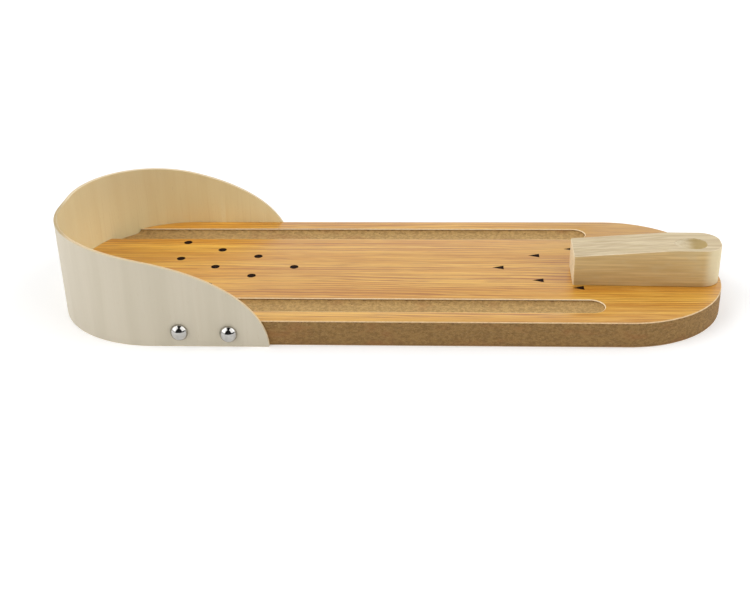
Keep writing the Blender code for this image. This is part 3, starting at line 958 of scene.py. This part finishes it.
def make_ramp(top_wood, side_wood, painted_highlight_wood, seat_painted_wood):
    """Make the ramp: eased edges all round, a sloping top and the ball seat."""
    top_slot, side_slot, edge_slot, seat_slot = range(4)
    bm = bmesh.new()
    last = None
    for inset, rise in reversed(quarter_round(RAMP_EDGE)):
        ring = add_ring(bm, ramp_outline(inset), RAMP_EDGE - rise)
        if last:
            add_wall(bm, last, ring, material=side_slot)
        else:
            add_cap(bm, ring, material=side_slot)
        last = ring
    for inset, rise in quarter_round(RAMP_EDGE):
        outline = ramp_outline(inset)
        ring = [bm.verts.new((x, y, ramp_top(x) - RAMP_EDGE + rise)) for x, y in outline]
        # Eased top-edge faces take the paler finish: a painted highlight.
        add_wall(bm, last, ring, material=side_slot if inset == 0 else edge_slot)
        last = ring
    rim = [Vector((vert.co.x, vert.co.y)) for vert in last]
    grid = [Vector(point) for point in ramp_grid(RAMP_EDGE + RAMP_GRID_MARGIN)]
    edges = [(index, (index + 1) % len(rim)) for index in range(len(rim))]
    plan, _, faces, origins, _, _ = delaunay_2d_cdt(
        rim + grid, edges, [], CDT_INSIDE_ONLY, CDT_EPSILON)
    verts = []
    for point, origin in zip(plan, origins):
        on_rim = [index for index in origin if index < len(rim)]
        height = ramp_height(point.x, point.y)
        verts.append(last[on_rim[0]] if on_rim else bm.verts.new((point.x, point.y, height)))
    for face in faces:
        top_face = bm.faces.new([verts[index] for index in face])
        top_face.smooth = True
        middle = top_face.calc_center_median()
        # Faces sunk into the seat take the seat's finish, which carries painted light and shade.
        in_seat = ramp_top(middle.x) - middle.z > SEAT_FACE_DEPTH
        top_face.material_index = seat_slot if in_seat else top_slot
    # The low end face takes the same paler finish: painted light from the left.
    for wall in bm.faces:
        if wall.calc_center_median().x < RAMP_CORNER_RADIUS / 2 - RAMP_LENGTH / 2:
            wall.material_index = edge_slot
    place = Matrix.Translation(RAMP_CENTRE) @ Matrix.Rotation(RAMP_YAW, 4, "Z")
    bmesh.ops.transform(bm, matrix=place, verts=bm.verts)
    piece = new_piece("ball_ramp_block", bm, (top_wood, side_wood, painted_highlight_wood, seat_painted_wood))
    settle(piece, "ramp", "ball_ramp")


def make_camera():
    """Place the camera from its yaw, pitch and roll."""
    forward = Vector((sin(CAMERA_YAW) * cos(CAMERA_PITCH), cos(CAMERA_YAW) * cos(CAMERA_PITCH),
                      -sin(CAMERA_PITCH)))
    level = Vector((cos(CAMERA_YAW), -sin(CAMERA_YAW), 0))
    upward = level.cross(forward)
    right = cos(CAMERA_ROLL) * level + sin(CAMERA_ROLL) * upward
    up = cos(CAMERA_ROLL) * upward - sin(CAMERA_ROLL) * level
    data = bpy.data.cameras.new("camera")
    data.sensor_width = SENSOR_WIDTH
    data.lens = LENS
    camera = bpy.data.objects.new("camera", data)
    turn = Matrix((right, up, -forward)).transposed().to_4x4()
    camera.matrix_world = Matrix.Translation(CAMERA_PLACE) @ turn
    bpy.context.scene.collection.objects.link(camera)
    bpy.context.scene.camera = camera


def make_floor():
    """Lay the floor just under the object."""
    bm = bmesh.new()
    half = FLOOR_HALF_SIZE
    corners = ((-half, -half), (half, -half), (half, half), (-half, half))
    bm.faces.new(add_ring(bm, corners, -FLOOR_DROP))
    floor = new_piece("floor", bm, (floor_material(),))


def make_panel(name, place, radiance):
    """Hang a soft light panel that faces the object."""
    data = bpy.data.lights.new(name, "AREA")
    data.shape = "RECTANGLE"
    width, height = PANEL_SIZE
    data.size, data.size_y = width, height
    data.energy = radiance * pi * width * height
    panel = bpy.data.objects.new(name, data)
    panel.location = place
    facing = Vector(PANEL_TARGET) - Vector(place)
    panel.rotation_euler = facing.to_track_quat("-Z", "Y").to_euler()
    bpy.context.scene.collection.objects.link(panel)


def make_surroundings():
    """Light the room: bright but for a gap towards the camera, dimmer overhead, white horizon."""
    world = bpy.data.worlds.new("studio")
    world.use_nodes = True
    room = Steps(world.node_tree)
    direction = room.place("Generated")
    height = room.part(direction, 2)
    walls = [room.spread(room.dot(direction, side), *GAP_EDGE, GAP_RADIANCE, BACK_RADIANCE)
             for side in (LEFT_OF_GAP, RIGHT_OF_GAP)]
    light = room.maths("MAXIMUM", *walls)
    light = room.maths("MULTIPLY", light, room.spread(height, *TOP_EDGE, 1.0, TOP_SHARE))
    horizon = room.spread(height, *HORIZON_EDGE, HORIZON_RADIANCE, 0.0)
    light = room.maths("MAXIMUM", light, horizon)
    background = world.node_tree.nodes["Background"]
    world.node_tree.links.new(light, background.inputs["Strength"])
    background.inputs["Color"].default_value = (1.0, 1.0, 1.0, 1.0)
    bpy.context.scene.world = world


def make_studio():
    """Set the camera, the floor and the lights."""
    make_camera()
    make_floor()
    make_surroundings()
    make_panel("left_panel", LEFT_PANEL_PLACE, LEFT_RADIANCE)
    make_panel("right_panel", RIGHT_PANEL_PLACE, RIGHT_RADIANCE)
    bpy.context.scene.view_settings.view_transform = "Standard"


def make_lane():
    """Make every piece of the lane."""
    # The sawn finish is the sides' own colour, and also painted shade on the steep gutter walls.
    mdf = mdf_material("sawn_mdf_and_painted_wall_shade", tone(165, 130, 76), tone(134, 99, 51), 0.06)
    routed = mdf_material("routed_mdf", tone(210, 173, 112), tone(184, 146, 86), 0.09)
    make_lane_surface(laminate_material(), laminate_edge_material(), mark_material())
    make_lane_core(mdf, routed)
    make_backing(backing_material())
    make_backstop(ply_face_material(), ply_edge_material())
    make_nails(chrome_material())
    top_wood = ramp_material("pale_hardwood_face", tone(225, 208, 172), tone(194, 173, 137), 0.25)
    # Sides: warmer than the top with painted bounce light off the lane, and paler towards the round
    # end with painted light from the right.
    side_wood = ramp_material("hardwood_side_painted_bounce", tone(222, 195, 138), tone(198, 168, 110), 0.3,
                              ROUND_END_PAINTED_LIGHT, tone(226, 211, 172))
    # Painted highlight: paler wood on the eased top edges and the low end face.
    painted_highlight_wood = ramp_material("hardwood_painted_highlight", tone(238, 222, 190), tone(228, 208, 170), 0.1)
    # Seat: paler than the top as painted light on its shallow left side, with painted shade
    # darkening towards its steep right wall.
    seat_painted_wood = ramp_material("seat_painted_light_and_shade", tone(230, 217, 186), tone(214, 198, 162), 0.2,
                              SEAT_PAINTED_SHADE_SPAN, tone(180, 153, 88))
    make_ramp(top_wood, side_wood, painted_highlight_wood, seat_painted_wood)


make_studio()
make_lane()
